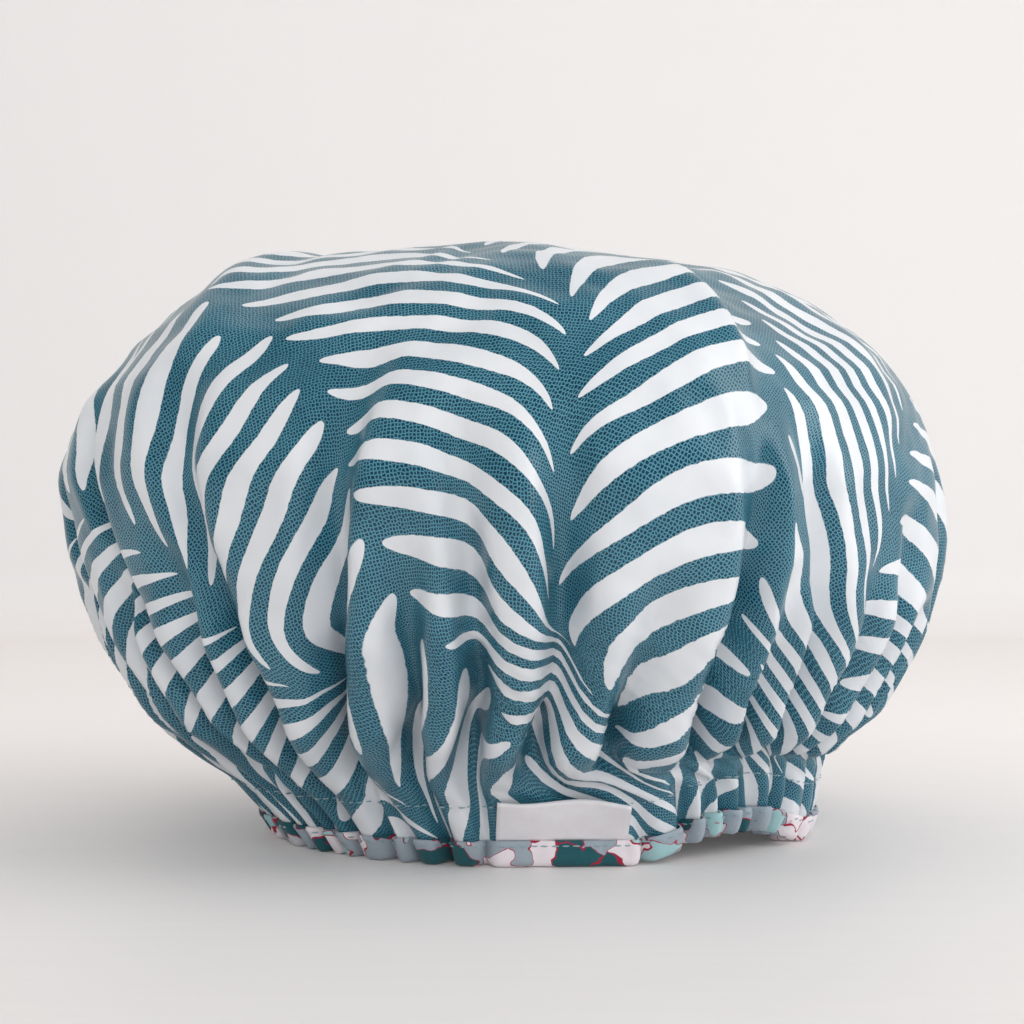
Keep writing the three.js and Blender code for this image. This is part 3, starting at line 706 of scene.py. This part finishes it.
# Binding
# A strip of contrast cotton print, folded over the raw edges of both rounds and gathered with them.
# Its section from the front's top edge, under and up inside: arc, then millimetres out and up.
BINDING_STEP = 0.0009
BINDING_MIDDLE = 0.2765
BINDING_SEAM, UNDER_SEAM = 0.2745, 0.2773
binding_section = [
    (0.2733, 0.25, 0.3), (0.2733, 0.70, 0.4), (0.2737, 1.05, 0), (0.2755, 1.15, 0), (0.2775, 1.15, 0),
    (0.2792, 1.05, 0), (0.2800, 0.70, -0.4), (0.2800, -0.40, -0.9), (0.2800, -1.60, -0.9),
    (0.2798, -2.60, -0.3), (0.2790, -3.00, 0), (0.2775, -3.10, 0), (0.2766, -2.90, 0.2),
    (0.2765, -2.20, 0.4),
]
binding_azimuths = even_path(BINDING_MIDDLE, BINDING_STEP)
binding_count = len(binding_azimuths)
binding_rows, binding_map, binding_faces = [], [], []
walked_across = 0.0
for arc, offset, lifted in binding_section:
    path = fabric_form(np.full(binding_count, arc), binding_azimuths)[0]
    line = path + offset / 1000 * face_out(path) + np.array((0, 0, lifted / 1000))
    if binding_rows:
        walked_across += float(np.median(np.linalg.norm(line - binding_rows[-1], axis=1)))
    binding_rows.append(line)
    walked_along = BINDING_STEP * np.arange(binding_count)
    binding_map.append(np.stack([walked_along, np.full(binding_count, walked_across)], -1))
for j in range(len(binding_section) - 1):
    for i in range(binding_count):
        after = (i + 1) % binding_count
        binding_faces.append((j * binding_count + i, (j + 1) * binding_count + i,
                              (j + 1) * binding_count + after, j * binding_count + after))
binding = new_piece("binding_strip", np.concatenate(binding_rows), binding_faces,
                    np.concatenate(binding_map))
contrast, wire, link = new_material("contrast cotton print", {"Roughness": 0.75, "Sheen Weight": 0.15})
flat_place = wire.node("ShaderNodeUVMap", {"uv_map": "flat"})
drift = flat_place.clouds(210.0, 1.0, 1)
drifted = wire.node("ShaderNodeVectorMath", {"operation": "MULTIPLY_ADD"},
                    {0: drift, 1: (0.008, 0.008, 0.0), 2: flat_place})
blots = {"Vector": drifted, "Scale": 118.0}
blot = wire.node("ShaderNodeTexVoronoi", {"voronoi_dimensions": "2D"}, blots, 1)
tone = wire.node("ShaderNodeSeparateColor", {}, {0: blot})
rim = wire.node("ShaderNodeTexVoronoi", {"voronoi_dimensions": "2D", "feature": "DISTANCE_TO_EDGE"}, blots)
ground = tone.step(0.40, 0.401).mix(colour(158, 170, 181), colour(238, 230, 235))
ground = tone.step(0.62, 0.621).mix(ground, colour(22, 88, 96))
ground = tone.step(0.84, 0.841).mix(ground, colour(164, 204, 208))
outlined = (1.0 - rim.step(0.03, 0.055)) * tone.step(0.40, 0.401)
link(Base_Color=outlined.mix(ground, colour(168, 22, 62)))
warp = flat_place.bands("X", 600.0)
weft = flat_place.bands("Y", 600.0)
pucker = flat_place.clouds(240.0, 2.0)
link(Normal=(warp * weft).bump(0.3, 0.00008, pucker.bump(0.4, 0.0008)))
binding.data.materials.append(contrast)
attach(binding, "cap")
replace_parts(binding, "hem_binding")
seam("binding_stitches", "binding_top_thread", BINDING_SEAM, 0.0012)
seam("binding_under_stitches", "binding_bobbin_thread", UNDER_SEAM, -0.0032)

# Label
# A white satin ribbon folded in half, its two ends caught under the binding's top edge. It leans out
# from the hem, more at its right end than at its left, and curls a little towards its fold.
LABEL_WIDE = 0.034
LABEL_TALL = 0.0128
LABEL_FOLD = 0.0005
LEAN_LEFT, LEAN_MORE = 33, 6
CURL, MEAN_CURL = 0.1, 0.035
UP = np.array((0, 0, 1.0))
hinge = next(joint for joint in frame["joints"] if joint["name"] == "label_hinge")
pivot = np.array(hinge["pos_m"])
label_along = np.array(hinge["axis"]) / np.linalg.norm(hinge["axis"])
label_out = np.cross(label_along, UP)
ribbon = [(h, LABEL_FOLD) for h in np.linspace(0, LABEL_TALL - LABEL_FOLD, 14)]
ribbon += [(LABEL_TALL - LABEL_FOLD + LABEL_FOLD * math.sin(a), LABEL_FOLD * math.cos(a))
           for a in np.linspace(0, math.pi, 9)[1:-1]]
ribbon += [(h, -LABEL_FOLD) for h in np.linspace(LABEL_TALL - LABEL_FOLD, 0, 14)]
LABEL_STEPS = 28
label_points, label_map = [], []
walked_up = 0.0
for j, (height, offset) in enumerate(ribbon):
    if j:
        walked_up += math.hypot(height - ribbon[j - 1][0], offset - ribbon[j - 1][1])
    for i in range(LABEL_STEPS + 1):
        share = i / LABEL_STEPS
        at_root = math.radians(LEAN_LEFT + LEAN_MORE * share ** 1.5)
        lean = at_root + CURL * (height / LABEL_TALL) ** 2 * (0.2 + share)
        mean_lean = at_root + MEAN_CURL * (height / LABEL_TALL) * (0.2 + share)
        bow = LABEL_WAVE * label_wave(share) * height / LABEL_TALL
        up = UP * math.cos(mean_lean) + label_out * math.sin(mean_lean)
        face = label_out * math.cos(lean) - UP * math.sin(lean)
        spot = pivot + label_along * LABEL_WIDE * (share - 0.5) + up * height + face * (offset + bow)
        label_points.append(spot)
        label_map.append((LABEL_WIDE * share, walked_up))
wide = LABEL_STEPS + 1
label_faces = [(j * wide + i, j * wide + i + 1, (j + 1) * wide + i + 1, (j + 1) * wide + i)
               for j in range(len(ribbon) - 1) for i in range(LABEL_STEPS)]
label = new_piece("ribbon_label", label_points, label_faces, label_map)
apply_modifier(label, "SOLIDIFY", thickness=0.00028, offset=0)
satin, wire, link = new_material("satin ribbon", {"Sheen Weight": 0.1})
flat_place = wire.node("ShaderNodeUVMap", {"uv_map": "flat"})
weave = flat_place.bands("Y", 900.0)
soil = flat_place.clouds(160.0, 3.0)
link(Base_Color=soil.mix(colour(232, 228, 233), colour(246, 244, 247)), Roughness=0.36 + 0.12 * soil)
link(Normal=weave.bump(0.3, 0.00005, soil.bump(0.2, 0.0005)))
label.data.materials.append(satin)
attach(label, "label")
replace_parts(label, "label_tab")

# Floor and wall
# A pale painted table top that turns up into a pale wall behind, both plain in colour, with a faint painted
# glow.
bpy.ops.object.select_all(action="DESELECT")
bpy.ops.mesh.primitive_plane_add(size=12, location=(0, -4.9, 0))
backdrop = bpy.context.object
backdrop.name = "backdrop"
bpy.ops.object.transform_apply(location=True, rotation=False, scale=False)
bpy.ops.object.mode_set(mode="EDIT")
bpy.ops.mesh.select_all(action="DESELECT")
bpy.ops.object.mode_set(mode="OBJECT")
for edge in backdrop.data.edges:
    edge.select = all(backdrop.data.vertices[i].co.y > 1 for i in edge.vertices)
bpy.ops.object.mode_set(mode="EDIT")
bpy.context.tool_settings.mesh_select_mode = (False, True, False)
bpy.ops.mesh.extrude_region_move(TRANSFORM_OT_translate={"value": (0, 0, 3)})
bpy.ops.object.mode_set(mode="OBJECT")
apply_modifier(backdrop, "BEVEL", width=0.06, segments=8, limit_method="ANGLE")
backdrop.data.shade_smooth()
paint, wire, link = new_material("pale paint", {"Roughness": 0.5, "Emission Strength": 1.0})
place = wire.node("ShaderNodeTexCoord", {}, {}, 3)
stretched = wire.node("ShaderNodeVectorMath", {"operation": "MULTIPLY"}, {0: place, 1: (6.0, 60.0, 6.0)})
brushed = wire.node("ShaderNodeTexNoise", {}, {"Vector": stretched, "Scale": 3.0, "Detail": 4.0})
spot = wire.node("ShaderNodeSeparateXYZ", {}, {0: place}).socket.node
wall = Wire(wire.tree, spot.outputs[2]).step(0.0, 0.05)
far = Wire(wire.tree, spot.outputs[1]).step(-0.1, 0.4)
floor_paint = brushed.mix(colour(226, 223, 222), colour(231, 228, 227))
link(Base_Color=wall.mix(floor_paint, colour(243, 241, 239)))
rays = wire.node("ShaderNodeLightPath", {}, {}).socket.node
seen = Wire(wire.tree, rays.outputs["Is Camera Ray"])
for kind in ("Is Glossy Ray", "Is Transmission Ray"):
    seen = seen + Wire(wire.tree, rays.outputs[kind])
# painted light: the floor and wall glow where the camera and gloss see them, the floor more towards the
# wall, which lightens the cap's shadow on the floor
floor_painted_light = far.mix((0.06, 0.06, 0.06, 1), (0.17, 0.15, 0.145, 1))
painted_light = wall.mix(floor_painted_light, (0.08, 0.08, 0.09, 1))
link(Emission_Color=seen.mix((0, 0, 0, 1), painted_light))
backdrop.data.materials.append(paint)

# Light
# A large soft window light from the right, a wide soft light overhead, a soft light from the front and an
# even pale room. Of the lamps and the room, the laminate's gloss shows the window alone; the backdrop's
# painted glow shows in it as well.
bpy.context.scene.view_settings.view_transform = "Standard"
world = bpy.data.worlds.new("room")
bpy.context.scene.world = world
world.use_nodes = True
world.cycles_visibility.glossy = False
world.node_tree.nodes["Background"].inputs["Color"].default_value = (1, 0.99, 0.98, 1)
world.node_tree.nodes["Background"].inputs["Strength"].default_value = 0.68
for name, place, size, power in (("window", (1.05, -0.25, 0.5), 0.8, 5.2),
                                 ("overhead", (0.1, 0.0, 1.5), 1.3, 2.5),
                                 ("fill", (0.3, -2.2, 0.75), 1.2, 12)):
    lamp = bpy.data.objects.new(name, bpy.data.lights.new(name, "AREA"))
    lamp.data.size = size
    lamp.data.energy = power
    lamp.location = place
    lamp.visible_glossy = name == "window"
    lamp.rotation_euler = (Vector((0, 0, 0.08)) - lamp.location).to_track_quat("-Z", "Y").to_euler()
    bpy.context.scene.collection.objects.link(lamp)
